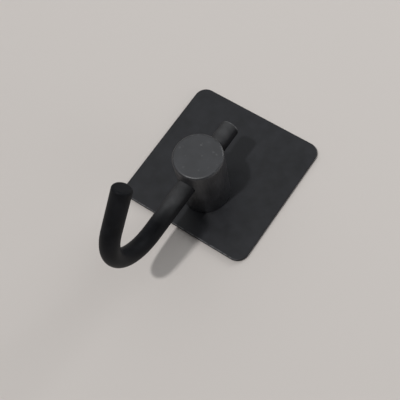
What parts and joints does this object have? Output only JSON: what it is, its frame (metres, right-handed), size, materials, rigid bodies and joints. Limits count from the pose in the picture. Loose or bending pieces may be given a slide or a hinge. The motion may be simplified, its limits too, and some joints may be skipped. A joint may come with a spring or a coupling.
{
  "type": "adhesive wall hook",
  "caption": "Adhesive wall hook: a round rod bent into an open hook, clamped through a short post on a thin square back plate with foam tape and a release liner behind it.",
  "frame": {"origin": "centre of the wall face, on the back of the release liner", "axes": "+Z out of the wall along the post, +Y up the wall towards the rod's upper end, +X to the right seen from the front"},
  "size_m": [0.048, 0.0765, 0.0561],
  "materials": {
    "plate_coating": "satin black powder coat on steel sheet",
    "post_coating": "matte black powder coat on turned steel",
    "rod_coating": "matte black powder coat on bent steel rod",
    "screw_steel": "plain zinc-plated steel",
    "set_screw_steel": "blackened steel",
    "adhesive": "clear tacky acrylic film over dark foam",
    "foam": "closed-cell foam with a cut edge",
    "liner": "thin smooth release film"
  },
  "bodies": {
    "hook": {"back_plate": "plate_coating", "post": "post_coating", "hook_rod": "rod_coating", "plate_screw": "screw_steel", "rod_set_screw": "set_screw_steel", "plate_side_adhesive": "adhesive", "foam_core": "foam", "wall_side_adhesive": "adhesive"},
    "liner": {"release_liner": "liner"}
  },
  "joints": [
    {"name": "liner_peel", "type": "slide", "parent": "hook", "child": "liner", "axis": [1, 0, 0], "range_m": [0, 0.052]}
  ]
}
